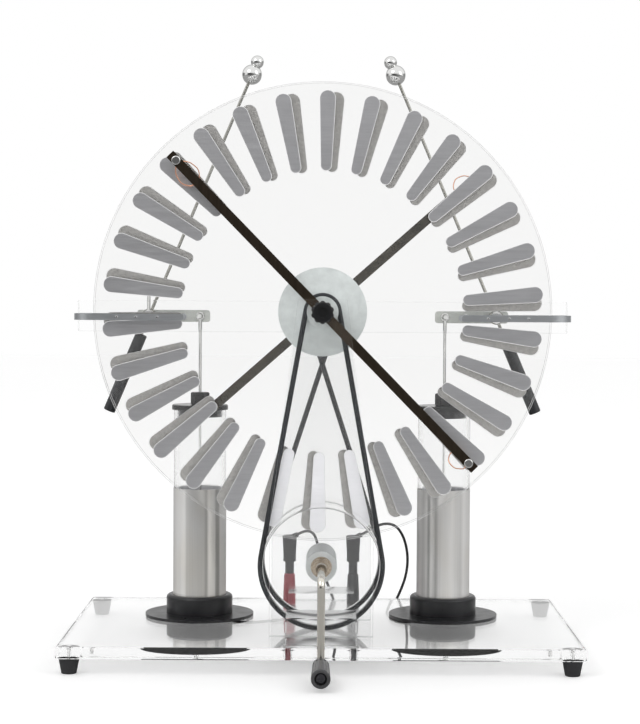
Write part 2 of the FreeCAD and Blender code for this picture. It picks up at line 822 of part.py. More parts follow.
def gentle_shift(start, end, run):
    """Two equal arcs that carry a strand sideways and leave it parallel to its run."""
    span = end.sub(start)
    ahead = span.dot(run)
    sideways = span.sub(run * ahead)
    shift = sideways.Length
    bend_radius = (ahead * ahead + shift * shift) / (4 * shift)
    angle = math.degrees(math.atan2(ahead / 2, bend_radius - shift / 2))
    sideways.normalize()
    axis = run.cross(sideways)
    first_centre = start.add(sideways * bend_radius)
    second_centre = end.sub(sideways * bend_radius)
    middle = start.add(span * 0.5)
    return [
        swept_arc(start, first_centre, axis, angle, belt_radius),
        swept_arc(middle, second_centre, axis * -1, angle, belt_radius),
    ]


def neutraliser(name, side, lean_angle):
    """A flat bar on the axle with a screw and two wire loops at each end. It is built
    upright for the rear side, then leaned to its clock angle."""
    half = bar_width / 2
    bar = block(-half, half, bar_inner_face, bar_outer_face, axle_z - bar_half_length,
                axle_z + bar_half_length)
    hub = along_y(0, axle_z, bar_hub_radius, bar_inner_face, bar_outer_face)
    bar = bar.fuse(hub).removeSplitter().Solids[0]
    bar = bar.cut(along_y(0, axle_z, axle_radius + running_gap, 0, bar_outer_face + overcut))
    fasteners = []
    brushes = []
    nut_end = bar_inner_face - 2 * brush_wire_radius - fit_gap
    head_end = bar_outer_face + bar_screw_head_height
    for end in (-1, 1):
        z = axle_z + end * bar_screw_reach
        bar = bar.cut(along_y(0, z, bar_screw_radius, 0, bar_outer_face + overcut))
        head = along_y(0, z, bar_screw_head_radius, bar_outer_face, head_end)
        rim = edges_of(head, lambda edge: edge.BoundBox.YMin > head_end - level_gap)
        head = head.makeFillet(screw_head_round, rim)
        head = head.cut(cross_recess(Vector(0, head_end, z), Vector(0, 1, 0), bar_screw_head_radius))
        shank = along_y(0, z, bar_screw_radius, nut_end - bar_nut_thickness, bar_outer_face)
        nut = hexagon(bar_nut_across_flats, bar_nut_thickness, Vector(0, nut_end, z), Vector(0, -1, 0))
        nut = nut.cut(along_y(0, z, bar_screw_radius, 0, bar_outer_face))
        fasteners += [joined([head, shank]), nut]
        brushes.append(brush(end))
    if side < 0:
        bar = mirrored_depth(bar)
        fasteners = [mirrored_depth(piece) for piece in fasteners]
        brushes = [mirrored_depth(piece) for piece in brushes]
    for shape in [bar] + fasteners + brushes:
        shape.rotate(Vector(0, 0, axle_z), Vector(0, 1, 0), lean_angle)
    keep(name + "_neutraliser_bar", [bar])
    keep(name + "_bar_screws", fasteners)
    keep(name + "_brushes", brushes)


def brush(end):
    """An open ring of copper wire, held at both ends under the bar's screw. It leans from
    the bar to the foils, and its far side is the part that wipes them."""
    if end > 0:
        inward, sideways, radius = long_brush_inward, long_brush_sideways, long_brush_radius
    else:
        inward, sideways, radius = short_brush_inward, short_brush_sideways, short_brush_radius
    clamp_y = bar_inner_face - brush_wire_radius - running_gap
    wipe_y = foil_face + seat_gap + brush_wire_radius
    screw_z = axle_z + end * bar_screw_reach
    away = math.atan2(-sideways, -inward)
    ring = []
    for step in range(brush_steps + 1):
        wrapped = (360 - brush_opening_angle) * step / brush_steps
        turn = math.radians(brush_opening_angle / 2 + wrapped)
        depth = clamp_y + (wipe_y - clamp_y) * math.sin(turn / 2) ** 2
        along = inward + radius * math.cos(away + turn)
        across = sideways + radius * math.sin(away + turn)
        ring.append(Vector(end * across, depth, screw_z - end * along))
    ends = []
    for point in (ring[0], ring[-1]):
        towards = Vector(point.x, 0, point.z - screw_z)
        towards.normalize()
        screw_side = Vector(0, clamp_y, screw_z)
        root = screw_side.add(towards * (bar_screw_radius + brush_wire_radius + running_gap))
        ends.append((root, screw_side.add(towards * brush_clamp_reach)))
    route = [ends[0][0], ends[0][1]] + ring + [ends[1][1], ends[1][0]]
    return round_bar(route, brush_wire_radius)[0]


def crossbar():
    half = crossbar_length / 2
    low = collector_z - crossbar_height / 2
    high = collector_z + crossbar_height / 2
    bar = block(-half, half, crossbar_front_face, crossbar_back_face, low, high)
    bar = bar.makeChamfer(plate_edge_break, bar.Edges)
    bar = bar.cut(along_y(0, axle_z, axle_radius + fit_gap, 0, crossbar_back_face + overcut))
    screw_hole = crossbar_screw_radius + fit_gap
    post_hole = post_screw_radius + fit_gap
    holes = [(crossbar_screw_spread, screw_hole), (jar_reach, post_hole)]
    holes += [(electrode_reach, post_hole), (second_post_reach, post_hole)]
    for reach, radius in holes:
        for side in (-1, 1):
            hole = along_y(side * reach, collector_z, radius, 0, crossbar_back_face + overcut)
            bar = bar.cut(hole)
    keep("crossbar", [bar])
    screws = []
    head_end = crossbar_back_face + crossbar_screw_head_height
    for side in (-1, 1):
        x = side * crossbar_screw_spread
        shank_start = upright_inner_face + crossbar_screw_short
        shank = along_y(x, collector_z, crossbar_screw_radius, shank_start, crossbar_back_face)
        head = along_y(x, collector_z, crossbar_screw_head_radius, crossbar_back_face, head_end)
        rim = edges_of(head, lambda edge: edge.BoundBox.YMin > head_end - level_gap)
        head = head.makeFillet(screw_head_round, rim)
        head = head.cut(cross_recess(Vector(x, head_end, collector_z), Vector(0, 1, 0),
                                     crossbar_screw_head_radius))
        screws.append(joined([head, shank]))
    keep("crossbar_screws", screws)


def both_sides(node, left_solids):
    """Writes a left-hand piece and its right-hand mirror image as two nodes."""
    keep("left_" + node, left_solids)
    keep("right_" + node, [mirrored_side(solid) for solid in left_solids])


def pair(node, left_solids):
    """Writes left-hand pieces and their right-hand mirror images as one node."""
    keep(node, left_solids + [mirrored_side(solid) for solid in left_solids])


def collector_strip():
    """A strip bent to a U round the rim of both discs."""
    low = collector_z - strip_height / 2
    centre_x = -(strip_outer_reach - strip_bend_radius)
    inside = strip_bend_radius - strip_thickness
    bend = along_z(centre_x, 0, strip_bend_radius, low, low + strip_height)
    bend = bend.cut(along_z(centre_x, 0, inside, low - overcut, low + strip_height + overcut))
    past = strip_bend_radius + overcut
    bend = bend.cut(block(centre_x, centre_x + past, -past, past, low - overcut,
                          low + strip_height + overcut))
    arms = []
    end_round = strip_height / 2
    for side in (-1, 1):
        y_start, y_end = sorted((side * inside, side * strip_bend_radius))
        arm = block(centre_x, -strip_inner_reach - end_round, y_start, y_end, low, low + strip_height)
        tip = along_y(-strip_inner_reach - end_round, collector_z, end_round, y_start, y_end)
        arms.append(arm.fuse(tip))
    strip = joined([bend] + arms)
    for side in (-1, 1):
        y_start, y_end = sorted((side * inside, side * strip_bend_radius))
        for reach in comb_pin_reaches:
            hole = along_y(-reach, collector_z, comb_pin_radius, y_start - overcut, y_end + overcut)
            strip = strip.cut(hole)
    for reach in (electrode_reach, second_post_reach):
        strip = strip.cut(along_y(-reach, collector_z, post_screw_radius, inside - overcut, past))
    return strip


def comb_pins():
    """Pointed pins through the strip, aimed at the foils of the disc beside them."""
    pins = []
    tip = foil_face + comb_gap
    head_end = strip_bend_radius + comb_head_height
    for reach in comb_pin_reaches:
        outline = [(0, tip), (comb_pin_radius, tip + comb_point_length)]
        outline += [(comb_pin_radius, strip_bend_radius)]
        outline += [(comb_head_radius, strip_bend_radius), (comb_head_top_radius, head_end)]
        outline += [(0, head_end)]
        pin = turned_on_y(outline, -reach, collector_z)
        pins += [pin, mirrored_depth(pin)]
    return pins


def posts_and_terminals():
    """What holds the strip, the link plate and the electrode to the crossbar."""
    posts = []
    screws = []
    spacers = []
    head_front = strip_bend_radius - strip_thickness - post_screw_head_height
    for reach in (electrode_reach, second_post_reach):
        post = along_y(-reach, collector_z, post_radius, strip_bend_radius, crossbar_front_face)
        post_end = crossbar_front_face + overcut
        post = post.cut(along_y(-reach, collector_z, post_screw_radius, 0, post_end))
        posts.append(post)
        end = link_plate_back_face + post_nut_thickness
        head = along_y(-reach, collector_z, post_screw_head_radius, head_front,
                       head_front + post_screw_head_height)
        shank = along_y(-reach, collector_z, post_screw_radius, head_front + post_screw_head_height, end)
        nut = hexagon(post_nut_across_flats, post_nut_thickness,
                      Vector(-reach, link_plate_back_face, collector_z), Vector(0, 1, 0))
        screws.append(joined([head, shank, nut]))
    spacer = along_y(-electrode_reach, collector_z, post_spacer_radius, crossbar_back_face,
                     crossbar_back_face + post_spacer_length)
    spacers.append(spacer.cut(along_y(-electrode_reach, collector_z, post_screw_radius, 0,
                                      crossbar_back_face + post_spacer_length + overcut)))
    long_spacer = along_y(-second_post_reach, collector_z, post_radius, crossbar_back_face,
                          link_plate_front_face)
    spacers.append(long_spacer.cut(along_y(-second_post_reach, collector_z, post_screw_radius, 0,
                                           link_plate_front_face + overcut)))
    eye_head_end = link_plate_back_face + post_nut_thickness
    eye_start = crossbar_front_face + eye_screw_inset
    eye_screw = along_y(-jar_reach, collector_z, post_screw_radius, eye_start, eye_head_end)
    eye_nut = hexagon(post_nut_across_flats, post_nut_thickness,
                      Vector(-jar_reach, link_plate_back_face, collector_z), Vector(0, 1, 0))
    screws.append(joined([eye_screw, eye_nut]))
    return posts, screws, spacers


def link_plate():
    low = collector_z - link_plate_height / 2
    high = collector_z + link_plate_height / 2
    plate = block(-link_plate_outer, -link_plate_inner, link_plate_front_face, link_plate_back_face,
                  low, high)
    def runs_through(edge):
        return abs(edge.BoundBox.YLength - link_plate_thickness) < level_gap

    upright_edges = edges_of(plate, runs_through)
    plate = plate.makeFillet(link_plate_corner, upright_edges)
    for reach in (electrode_reach, second_post_reach, jar_reach):
        hole = along_y(-reach, collector_z, post_screw_radius, 0, link_plate_back_face + overcut)
        plate = plate.cut(hole)
    return plate


def terminal_stud():
    """A thin stud with a flat head that stands on the spacer behind the crossbar."""
    y = crossbar_back_face + post_spacer_length / 2
    neck = collector_z + post_spacer_radius + stud_length
    top = neck + stud_head_height
    outline = [(0, collector_z), (stud_radius, collector_z), (stud_radius, neck)]
    outline += [(stud_head_radius, neck), (stud_head_radius, top), (0, top)]
    stud = turned_on_z(outline, -electrode_reach, y)
    return stud.cut(along_y(-electrode_reach, collector_z, post_spacer_radius, 0, terminal_y))


def electrode():
    """The left electrode: a hub on the post screw, a thin rod with two balls, a handle."""
    pivot = Vector(-electrode_reach, terminal_y, collector_z)
    lean = math.radians(electrode_lean_angle)
    up = Vector(math.sin(lean), 0, math.cos(lean))
    hub_end = hub_front_face + hub_thickness
    hub = along_y(pivot.x, pivot.z, hub_radius, hub_front_face, hub_end)
    hub = hub.cut(along_y(pivot.x, pivot.z, post_screw_radius + running_gap, 0, hub_end + overcut))
    rod_start = hub_radius - rod_socket_depth
    rod_end = small_ball_reach - rod_in_ball
    rod = Part.makeCylinder(electrode_rod_radius, rod_end - rod_start, pivot.add(up * rod_start), up)
    stem_end = handle_start + rod_in_handle
    stem_start = pivot.sub(up * rod_start)
    stem = Part.makeCylinder(electrode_rod_radius, stem_end - rod_start, stem_start, up * -1)
    hub = hub.cut(rod).cut(stem)
    large = Part.makeSphere(large_ball_radius, pivot.add(up * large_ball_reach))
    small = Part.makeSphere(small_ball_radius, pivot.add(up * small_ball_reach))
    balls = joined([large, small]).cut(rod)
    handle_top = pivot.sub(up * handle_start)
    handle = Part.makeCylinder(handle_radius, handle_end - handle_start, handle_top, up * -1)
    rims = edges_of(handle, lambda edge: is_circle(edge, handle_radius))
    handle = handle.makeFillet(handle_edge_round, rims).cut(stem)
    both_sides("electrode_rods", [hub, rod, stem])
    both_sides("electrode_balls", [balls])
    both_sides("electrode_handle", [handle])


def jar():
    """The left jar: foot, clear tube, outer and inner coatings, cap, nut and rod."""
    x = -jar_reach
    y = terminal_y
    floor_top = plate_top + jar_floor_thickness
    tube_top = plate_top + jar_tube_top
    coating_radius = jar_tube_radius + coating_thickness
    ring_inner = coating_radius + running_gap
    ring_top = plate_top + jar_ring_height
    flange_top = plate_top + jar_flange_thickness
    outline = [(0, plate_top), (jar_flange_radius, plate_top), (jar_flange_radius, flange_top)]
    outline += [(jar_ring_radius, flange_top), (jar_ring_radius, ring_top), (ring_inner, ring_top)]
    outline += [(ring_inner, floor_top), (0, floor_top)]
    foot = turned_on_z(outline, x, y)
    rim = edges_of(foot, lambda edge: is_circle(edge, jar_ring_radius)
                   and edge.BoundBox.ZMin > ring_top - level_gap)
    foot = foot.makeFillet(jar_ring_rounding, rim)
    screw_hole_top = plate_top + jar_screw_depth_in_floor
    foot = foot.cut(along_z(x, y, jar_screw_radius, plate_top - overcut, screw_hole_top))
    pair("jar_holders", [foot])

    tube = along_z(x, y, jar_tube_radius, floor_top, tube_top)
    inner_radius = jar_tube_radius - jar_tube_wall
    tube = tube.cut(along_z(x, y, inner_radius, floor_top - overcut, tube_top + overcut))
    pair("jar_tubes", [tube])

    coat_top = plate_top + coating_top
    outer = along_z(x, y, coating_radius, floor_top, coat_top)
    outer = outer.cut(along_z(x, y, jar_tube_radius, floor_top - overcut, coat_top + overcut))
    pair("jar_outer_coatings", [outer])
    inner = along_z(x, y, inner_radius, floor_top, coat_top)
    hollow_radius = inner_radius - coating_thickness
    inner = inner.cut(along_z(x, y, hollow_radius, floor_top - overcut, coat_top + overcut))
    disc_bottom = floor_top + contact_disc_rise
    disc_radius_inside = inner_radius - coating_thickness - fit_gap
    contact = along_z(x, y, disc_radius_inside, disc_bottom, disc_bottom + contact_disc_thickness)
    pair("jar_inner_coatings", [inner])

    cap_top = tube_top + jar_cap_thickness
    plug_radius = inner_radius - fit_gap
    outline = [(0, tube_top - jar_plug_depth), (plug_radius, tube_top - jar_plug_depth)]
    outline += [(plug_radius, tube_top), (jar_cap_radius, tube_top)]
    outline += [(jar_cap_radius, cap_top - jar_cap_edge_break)]
    outline += [(jar_cap_radius - jar_cap_edge_break, cap_top), (0, cap_top)]
    cap = turned_on_z(outline, x, y)
    nut = hexagon(jar_nut_across_flats, jar_nut_height, Vector(x, y, cap_top), Vector(0, 0, 1))
    hole = along_z(x, y, jar_rod_radius, plate_top, cap_top + jar_nut_height + overcut)
    pair("jar_caps", [cap.cut(hole)])
    pair("jar_nuts", [nut.cut(hole)])

    eye_bottom = collector_z - eye_radius
    rod = along_z(x, y, jar_rod_radius, disc_bottom + contact_disc_thickness, eye_bottom)
    ferrule_top = eye_bottom - eye_wire_radius / 2
    ferrule = along_z(x, y, jar_rod_ferrule_radius, ferrule_top - jar_rod_ferrule_length, ferrule_top)
    eye = Part.makeTorus(eye_radius, eye_wire_radius, Vector(x, y, collector_z), Vector(0, 1, 0))
    pair("jar_rods", [joined([rod, ferrule, eye, contact])])

    screw_top = screw_hole_top - fit_gap
    screw_bottom = plate_bottom - terminal_ring_thickness - jar_screw_nut_thickness
    screw = along_z(x, y, jar_screw_radius, screw_bottom, screw_top)
    head_base = Vector(x, y, screw_bottom)
    head = hexagon(jar_screw_nut_flats, jar_screw_nut_thickness, head_base, Vector(0, 0, 1))
    pair("jar_screws", [joined([screw, head])])


def ring_terminal():
    """The ring on the end of a lead, clamped under the plate by the jar's screw."""
    x = -jar_reach
    y = terminal_y
    top = plate_bottom
    bottom = top - terminal_ring_thickness
    ring = along_z(x, y, terminal_ring_radius, bottom, top)
    half = terminal_tongue_width / 2
    reach = terminal_barrel_start + terminal_barrel_radius
    tongue = block(x, x + reach, y - half, y + half, bottom, top)
    tongue.rotate(Vector(x, y, 0), Vector(0, 0, 1), terminal_angle)
    end, direction = terminal_exit(-1)
    start = end.sub(direction * terminal_barrel_length)
    barrel = Part.makeCylinder(terminal_barrel_radius, terminal_barrel_length, start, direction)
    terminal = joined([ring, tongue, barrel])
    return terminal.cut(along_z(x, y, jar_screw_radius, 0, top + overcut))


def terminal_exit(side):
    """Where the lead leaves the ring terminal, and the direction it leaves in."""
    angle = math.radians(terminal_angle)
    direction = Vector(-side * math.cos(angle), math.sin(angle), 0)
    centre = Vector(side * jar_reach, terminal_y, plate_bottom - terminal_barrel_radius - running_gap)
    reach = terminal_barrel_start + terminal_barrel_length
    return centre.add(direction * reach), direction


def socket(x):
    """An insulated socket whose stem goes through the plate to a nut."""
    top = plate_top + socket_height
    foot_top = plate_top + socket_foot_height
    outline = [(0, plate_top), (socket_foot_radius, plate_top), (socket_foot_radius, foot_top)]
    outline += [(socket_top_radius, top - socket_edge_break)]
    outline += [(socket_top_radius - socket_edge_break, top), (0, top)]
    body = turned_on_z(outline, x, socket_y)
    stem_bottom = plate_bottom - socket_nut_thickness
    stem = along_z(x, socket_y, socket_stem_radius, stem_bottom, plate_top)
    body = joined([body, stem])
    bore = plug_pin_radius + running_gap
    bore_end = top - plug_pin_length - plug_pin_room
    body = body.cut(along_z(x, socket_y, bore, bore_end, top + overcut))
    base = Vector(x, socket_y, stem_bottom)
    nut = hexagon(socket_nut_flats, socket_nut_thickness, base, Vector(0, 0, 1))
    nut = nut.cut(along_z(x, socket_y, socket_stem_radius, 0, plate_top))
    return body, nut


def plug(x):
    """A plug in its socket, with a side outlet near the top for its lead."""
    foot = plate_top + socket_height
    collar_top = foot + plug_collar_height
    grip_top = collar_top + plug_grip_height
    tip = foot - plug_pin_length
    outline = [(0, tip), (plug_pin_tip_radius, tip)]
    outline += [(plug_pin_radius, tip + plug_pin_tip_length), (plug_pin_radius, foot)]
    outline += [(plug_collar_radius, foot), (plug_collar_radius, collar_top)]
    grip_foot_top = collar_top + plug_grip_foot_height
    outline += [(plug_grip_foot_radius, collar_top), (plug_grip_foot_radius, grip_foot_top)]
    outline += [(plug_grip_top_radius, grip_top - plug_grip_edge_break)]
    outline += [(plug_grip_top_radius - plug_grip_edge_break, grip_top), (0, grip_top)]
    body = turned_on_z(outline, x, socket_y)
    end, direction = plug_outlet(x)
    start = Vector(x, socket_y, grip_top - plug_outlet_drop)
    outlet = Part.makeCylinder(plug_outlet_radius, plug_outlet_reach, start, direction)
    return joined([body, outlet])


def plug_outlet(x):
    rise = math.radians(plug_outlet_rise_angle)
    direction = Vector(math.cos(rise), 0, math.sin(rise))
    grip_top = plate_top + socket_height + plug_collar_height + plug_grip_height
    start = Vector(x, socket_y, grip_top - plug_outlet_drop)
    return start.add(direction * plug_outlet_reach), direction


def sockets_and_leads():
    left_socket, left_nut = socket(-socket_reach)
    right_socket, right_nut = socket(socket_reach)
    keep("left_socket", [left_socket])
    keep("right_socket", [right_socket])
    keep("socket_nuts", [left_nut, right_nut])
    keep("plugs", [plug(-socket_reach), plug(socket_reach)])
    pair("ring_terminals", [ring_terminal()])

    # Each lead arches out of its plug, drops behind the plate's back edge, turns under it
    # and lies on the table until it rises to the screw under its jar. The points between
    # are places in the part's own frame, chosen from the look of the real leads.
    left_points = [(-6.0, 109.0, 71.0), (-3.5, 111.4, 64.9), (-1.5, 115.0, 54.8), (1.0, 119.6, 42.5)]
    left_points += [(4.6, 126.5, 30.0), (9.0, 132.5, 19.0), (10.6, 134.3, 10.0), (8.6, 131.8, 3.2)]
    left_points += [(3.4, 127.0, 1.2), (-4.5, 121.5, 1.1), (-16.0, 110.5, 1.1), (-29.0, 96.0, 1.1)]
    left_points += [(-44.0, 84.0, 1.1), (-57.0, 76.5, 1.9), (-66.0, 70.9, 4.5)]
    right_points = [(45.6, 108.9, 77.4), (53.6, 112.2, 76.2), (59.2, 116.2, 69.8), (62.9, 120.6, 60.2)]
    right_points += [(64.6, 125.3, 48.6), (63.6, 130.0, 36.2), (60.0, 133.8, 24.4), (55.0, 135.6, 13.6)]
    right_points += [(51.0, 133.6, 5.6), (48.9, 127.4, 1.6), (49.4, 118.2, 1.1), (51.6, 104.4, 1.15)]
    right_points += [(56.4, 90.8, 1.1), (63.8, 80.2, 2.0), (67.6, 72.4, 5.0)]
    for side, name, points in ((-1, "left_lead", left_points), (1, "right_lead", right_points)):
        start, start_direction = plug_outlet(side * socket_reach)
        end, end_direction = terminal_exit(side)
        first_run = left_lead_first_run if side < 0 else right_lead_first_run
        route = [start, start.add(start_direction * first_run)]
        route += [Vector(x, y - disc_plane_y, z) for x, y, z in points]
        route += [end.add(end_direction * lead_last_run), end]
        lead, radii, length = round_bar(route, lead_radius)
        print(name, "bend radii", radii, "length", round(length, 1))
        section = math.pi * lead_radius ** 2
        print(name, "volume over section times length", round(lead.Volume / (section * length), 4))
        keep(name, [lead])


def whole_machine():
    os.makedirs("parts", exist_ok=True)
    base_plate()
    feet()
    upright("front_upright", -1)
    upright("rear_upright", 1)
    upright_blocks()
    shaft_bushes()
    axle()
    star_knobs()
    disc_set("front", -1, front_sector_angle)
    disc_set("rear", 1, rear_sector_angle)
    wheel_train()
    crank()
    front_belt()
    rear_belt()
    neutraliser("front", -1, front_bar_angle)
    neutraliser("rear", 1, rear_bar_angle)
    crossbar()
    both_sides("collector_strip", [collector_strip()])
    pair("comb_pins", comb_pins())
    posts, screws, spacers = posts_and_terminals()
    pair("collector_posts", posts)
    pair("terminal_screws", screws + [terminal_stud()])
    pair("terminal_spacers", spacers)
    pair("link_plates", [link_plate()])
    electrode()
    jar()
    sockets_and_leads()


whole_machine()
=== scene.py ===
import math

import bpy
from mathutils import Matrix, Vector


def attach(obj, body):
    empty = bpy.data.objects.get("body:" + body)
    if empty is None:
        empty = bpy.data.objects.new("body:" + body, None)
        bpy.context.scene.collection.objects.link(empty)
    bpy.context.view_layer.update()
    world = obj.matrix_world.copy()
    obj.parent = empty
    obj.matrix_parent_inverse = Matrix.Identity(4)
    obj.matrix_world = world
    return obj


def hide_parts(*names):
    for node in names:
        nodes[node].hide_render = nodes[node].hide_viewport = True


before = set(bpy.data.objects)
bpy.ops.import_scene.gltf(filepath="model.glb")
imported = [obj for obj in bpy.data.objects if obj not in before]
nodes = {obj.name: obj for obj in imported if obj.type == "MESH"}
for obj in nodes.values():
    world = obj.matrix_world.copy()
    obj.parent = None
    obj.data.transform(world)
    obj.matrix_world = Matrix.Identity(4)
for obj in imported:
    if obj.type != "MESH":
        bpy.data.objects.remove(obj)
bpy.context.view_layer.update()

# camera
# The photograph's own view: level with the discs, 1.32 m before them, tipped 2.1 degrees down.
FOCAL_PIXELS = 1950.0
LONG_SIDE_PIXELS = 724.0
SENSOR_MM = 36.0
CAMERA_PLACE = (0.0, -1.3225, 0.2485)
PITCH = math.radians(2.104)
YAW = math.radians(0.070)
ROLL = math.radians(0.30)
NEAREST_SEEN = 0.05
FARTHEST_SEEN = 60.0


def make_camera():
    data = bpy.data.cameras.new("photo_camera")
    data.sensor_fit = "AUTO"
    data.sensor_width = SENSOR_MM
    data.lens = FOCAL_PIXELS / LONG_SIDE_PIXELS * SENSOR_MM
    data.clip_start = NEAREST_SEEN
    data.clip_end = FARTHEST_SEEN
    camera = bpy.data.objects.new("photo_camera", data)
    bpy.context.scene.collection.objects.link(camera)
    ahead = Vector((-math.sin(YAW) * math.cos(PITCH), math.cos(YAW) * math.cos(PITCH), -math.sin(PITCH)))
    level = Vector((math.cos(YAW), math.sin(YAW), 0.0))
    above = level.cross(ahead)
    right = math.cos(ROLL) * level + math.sin(ROLL) * above
    up = math.cos(ROLL) * above - math.sin(ROLL) * level
    turn = Matrix((right, up, -ahead)).transposed().to_4x4()
    camera.matrix_world = Matrix.Translation(CAMERA_PLACE) @ turn
    bpy.context.scene.camera = camera


make_camera()


# helpers for the materials' nodes
def new_material(name):
    material = bpy.data.materials.new(name)
    material.use_nodes = True
    return material, material.node_tree, material.node_tree.nodes["Principled BSDF"]


def place(tree, stretch=(1.0, 1.0, 1.0), turn=(0.0, 0.0, 0.0), shift=(0.0, 0.0, 0.0)):
    """The piece's own coordinates in metres, turned and stretched."""
    mapping = tree.nodes.new("ShaderNodeMapping")
    mapping.inputs["Scale"].default_value = stretch
    mapping.inputs["Rotation"].default_value = turn
    mapping.inputs["Location"].default_value = shift
    tree.links.new(tree.nodes.new("ShaderNodeTexCoord").outputs["Object"], mapping.inputs["Vector"])
    return mapping.outputs["Vector"]


def parts_of(tree, vector):
    """A vector's X, Y and Z, by those names."""
    node = tree.nodes.new("ShaderNodeSeparateXYZ")
    tree.links.new(vector, node.inputs["Vector"])
    return node.outputs


def facing(tree):
    """X, Y and Z of the direction in which the surface looks."""
    return parts_of(tree, tree.nodes.new("ShaderNodeTexCoord").outputs["Normal"])


def noise(tree, vector, scale=1.0, detail=3.0, roughness=0.55):
    node = tree.nodes.new("ShaderNodeTexNoise")
    node.inputs["Scale"].default_value = scale
    node.inputs["Detail"].default_value = detail
    node.inputs["Roughness"].default_value = roughness
    tree.links.new(vector, node.inputs["Vector"])
    return node.outputs["Fac"]


def cells(tree, scale):
    """How far a point lies from the nearest of many scattered points."""
    node = tree.nodes.new("ShaderNodeTexVoronoi")
    node.inputs["Scale"].default_value = scale
    tree.links.new(place(tree), node.inputs["Vector"])
    return node.outputs["Distance"]


def ramp(tree, factor, *stops):
    """Colour or grey by stops of (position, colour)."""
    node = tree.nodes.new("ShaderNodeValToRGB")
    points = node.color_ramp.elements
    while len(points) < len(stops):
        points.new(0.5)
    for point, (position, colour) in zip(points, stops):
        point.position = position
        point.color = (*colour, 1.0) if isinstance(colour, tuple) else (colour, colour, colour, 1.0)
    tree.links.new(factor, node.inputs["Fac"])
    return node.outputs["Color"]


def blend(tree, factor, first, second, mode="MIX"):
    """Two colours mixed, or another mode of joining them. Each value is a number, a colour or a socket."""
    node = tree.nodes.new("ShaderNodeMix")
    node.data_type = "RGBA"
    node.blend_type = mode
    for socket, value in (("Factor_Float", factor), ("A_Color", first), ("B_Color", second)):
        target = next(s for s in node.inputs if s.identifier == socket)
        if isinstance(value, bpy.types.NodeSocket):
            tree.links.new(value, target)
        elif isinstance(value, tuple):
            target.default_value = (*value, 1.0)
        else:
            target.default_value = value
    return next(s for s in node.outputs if s.identifier == "Result_Color")


def multiply(tree, first, second):
    """Two colours multiplied."""
    return blend(tree, 1.0, first, second, "MULTIPLY")


def maths(tree, operation, *values):
    """A sum on numbers, each of them a number or a socket."""
    node = tree.nodes.new("ShaderNodeMath")
    node.operation = operation
    for target, value in zip(node.inputs, values):
        if isinstance(value, bpy.types.NodeSocket):
            tree.links.new(value, target)
        else:
            target.default_value = value
    return node.outputs["Value"]


def distance(tree, across, along):
    """How far a point lies from the origin, by its two coordinates."""
    squares = [maths(tree, "POWER", side, 2.0) for side in (across, along)]
    return maths(tree, "SQRT", maths(tree, "ADD", *squares))


def spread(tree, factor, low, high):
    """A number from low to high as factor goes from 0 to 1."""
    node = tree.nodes.new("ShaderNodeMapRange")
    node.inputs["To Min"].default_value = low
    node.inputs["To Max"].default_value = high
    tree.links.new(factor, node.inputs["Value"])
    return node.outputs["Result"]


def bump(tree, shader, height, strength, depth):
    node = tree.nodes.new("ShaderNodeBump")
    node.inputs["Strength"].default_value = strength
    node.inputs["Distance"].default_value = depth
    tree.links.new(height, node.inputs["Height"])
    tree.links.new(node.outputs["Normal"], shader.inputs["Normal"])


def scaled(colour, share):
    return tuple(share * c for c in colour)


# materials
# Lengths are in metres. Scales and stretches are in marks to the metre.
AXLE_HEIGHT = 0.234
# The sectors: where the middles of their round ends lie from the axle, and how large the ends are.
SECTOR_COUNT = 30
INNER_END = 0.0988
OUTER_END = 0.1438
INNER_ROUND = 0.0038
OUTER_ROUND = 0.0055
# How wide the painted highlight round each sector's outline is, where light catches the foil's edge.
EDGE_GLINT_WIDTH = 0.00035
# The jars: how far their middles lie to the left and the right, and half the width that their painted
# reflection bands fill.
JAR_REACH = 0.0861
JAR_RADIUS = 0.0186
# How deep the finest marks are.
GRAIN_DEPTH = 0.00004
BRUSHED_DEPTH = 0.00003
# A face belongs to a sheet's polished sides where it looks along their axis to within 37 degrees.
POLISHED_FROM = 0.8


def acrylic(name, tint, flat_axis="Y", index=1.49, veil=0.0, edge_veil=0.45, edge_rough=0.2):
    """Clear sheet: polished faces with faint wiping marks and dust, and sawn edges that are a little white.
    flat_axis is the axis that the polished faces look along, index says how much the sheet bends light, and
    veil and edge_veil say how white its faces and its edges are."""
    material, tree, shader = new_material(name)
    wipes = noise(tree, place(tree, stretch=(90.0, 90.0, 400.0), turn=(0.0, 0.6, 0.0)), detail=4.0)
    clean = blend(tree, wipes, scaled(tint, 0.99), tint)
    dusty = ramp(tree, cells(tree, 170.0), (0.0, scaled(tint, 0.85)), (0.04, 1.0))
    tree.links.new(multiply(tree, clean, dusty), shader.inputs["Base Color"])
    square_on = maths(tree, "ABSOLUTE", facing(tree)[flat_axis])
    polished = maths(tree, "GREATER_THAN", square_on, POLISHED_FROM)
    clearness = spread(tree, polished, 1.0 - edge_veil, 1.0 - veil)
    tree.links.new(clearness, shader.inputs["Transmission Weight"])
    tree.links.new(spread(tree, polished, edge_rough, 0.0), shader.inputs["Roughness"])
    shader.inputs["IOR"].default_value = index
    return material


